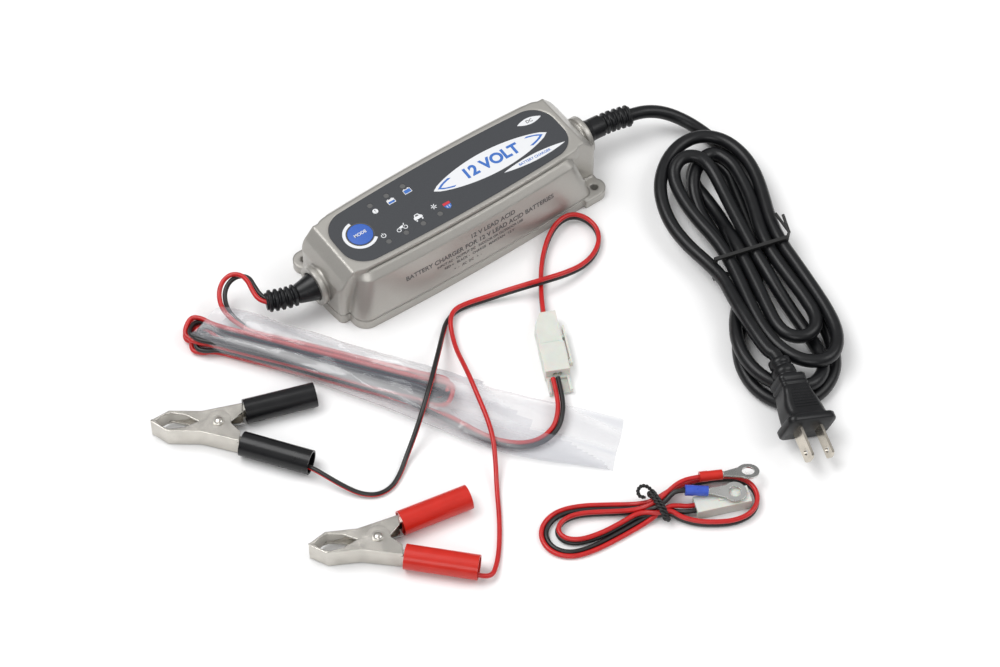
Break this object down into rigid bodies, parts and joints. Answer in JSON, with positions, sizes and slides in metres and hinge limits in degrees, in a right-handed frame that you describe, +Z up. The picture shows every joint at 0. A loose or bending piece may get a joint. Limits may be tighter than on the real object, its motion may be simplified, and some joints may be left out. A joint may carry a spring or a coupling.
{
  "type": "battery charger",
  "caption": "Flat battery charger with touch panel and button, coiled mains cord and plug, latched low-voltage connectors, two spring battery clamps and a spare ring-terminal lead.",
  "frame": {"origin": "middle of the housing footprint, on the surface it stands on", "axes": "+X along the housing towards the mains cord end, +Y towards its far long side, +Z up"},
  "size_m": [0.3514, 0.2691, 0.0385],
  "materials": {
    "housing_silver": "satin metallic lacquer over moulded plastic",
    "seal_rubber": "matte",
    "screw_steel": "zinc plated",
    "panel_charcoal": "fine grain printed label",
    "button_blue": "satin",
    "board_green": "solder mask",
    "pin_tin": "tin plated",
    "black_plastic": "moulded",
    "led_grey": "diffused dome",
    "ferrite_dark": "ferrite",
    "copper_winding": "enamelled copper",
    "capacitor_black": "sleeved can",
    "sink_aluminium": "extruded",
    "fuse_glass": "clear tube",
    "black_pvc": "soft PVC",
    "tie_black": "coated wire",
    "blade_nickel": "nickel plated brass",
    "wire_red": "PVC insulation",
    "wire_black": "PVC insulation",
    "bag_film": "thin clear film",
    "connector_white": "translucent nylon",
    "clamp_nickel": "nickel plated pressed steel",
    "spring_steel": "spring wire",
    "sleeve_black": "dipped PVC",
    "sleeve_red": "dipped PVC",
    "sleeve_blue": "PVC",
    "terminal_tin": "tin plated copper"
  },
  "bodies": {
    "charger": {"base_plate": "housing_silver", "base_screws": "screw_steel", "black_clamp_lower_jaw": "clamp_nickel", "black_clamp_lower_sleeve": "sleeve_black", "black_clamp_rivet": "clamp_nickel", "black_clamp_spring": "spring_steel", "blue_ring_sleeve": "sleeve_blue", "blue_ring_terminal": "terminal_tin", "board_links": "pin_tin", "capacitors": "capacitor_black", "charger_connector": "connector_white", "circuit_board": "board_green", "clamp_connector": "connector_white", "clamp_lead_black": "wire_black", "clamp_lead_red": "wire_red", "connector_pins": "pin_tin", "control_board": "board_green", "control_panel": "panel_charcoal", "cover_seal": "seal_rubber", "dc_hank": "wire_red", "dc_lead_black": "wire_black", "dc_lead_red": "wire_red", "dc_strain_relief": "black_pvc", "eyelet_connector": "connector_white", "eyelet_contacts": "pin_tin", "eyelet_hank": "wire_black", "eyelet_lead_black": "wire_black", "eyelet_lead_red": "wire_red", "eyelet_tie": "tie_black", "heat_sink": "sink_aluminium", "indicator_leds": "led_grey", "lead_bag": "bag_film", "line_filter_choke": "copper_winding", "mains_cord": "black_pvc", "mains_fuse": "fuse_glass", "mains_hank": "black_pvc", "mains_strain_relief": "black_pvc", "mains_tie": "tie_black", "mode_switch": "black_plastic", "plug_blades": "blade_nickel", "plug_body": "black_pvc", "power_transistors": "black_plastic", "red_clamp_lower_jaw": "clamp_nickel", "red_clamp_lower_sleeve": "sleeve_red", "red_clamp_rivet": "clamp_nickel", "red_clamp_spring": "spring_steel", "red_ring_sleeve": "sleeve_red", "red_ring_terminal": "terminal_tin", "top_cover": "housing_silver", "transformer_core": "ferrite_dark", "transformer_windings": "copper_winding"},
    "button": {"mode_button": "button_blue", "switch_plunger": "black_plastic"},
    "latch": {"connector_latch": "connector_white"},
    "black_jaw": {"black_clamp_upper_jaw": "clamp_nickel", "black_clamp_upper_sleeve": "sleeve_black"},
    "red_jaw": {"red_clamp_upper_jaw": "clamp_nickel", "red_clamp_upper_sleeve": "sleeve_red"}
  },
  "joints": [
    {"name": "mode_button_press", "type": "slide", "parent": "charger", "child": "button", "axis": [0, 0, -1], "range_m": [0, 0.0006], "stiffness_N_per_m": 1200},
    {"name": "connector_latch", "type": "hinge", "parent": "charger", "child": "latch", "pos_m": [0.00505, -0.09526, 0.0048], "axis": [0, 0, 1], "range_deg": [0, 8], "stiffness_Nm_per_rad": 0.6},
    {"name": "black_clamp_hinge", "type": "hinge", "parent": "charger", "child": "black_jaw", "pos_m": [-0.1706, -0.0392, 0.0064], "axis": [0, 0, -1], "range_deg": [0, 26], "stiffness_Nm_per_rad": 0.8, "springref_deg": -20.05},
    {"name": "red_clamp_hinge", "type": "hinge", "parent": "charger", "child": "red_jaw", "pos_m": [-0.1444, -0.1428, 0.0064], "axis": [0, 0, -1], "range_deg": [0, 26], "stiffness_Nm_per_rad": 0.8, "springref_deg": -20.05}
  ]
}
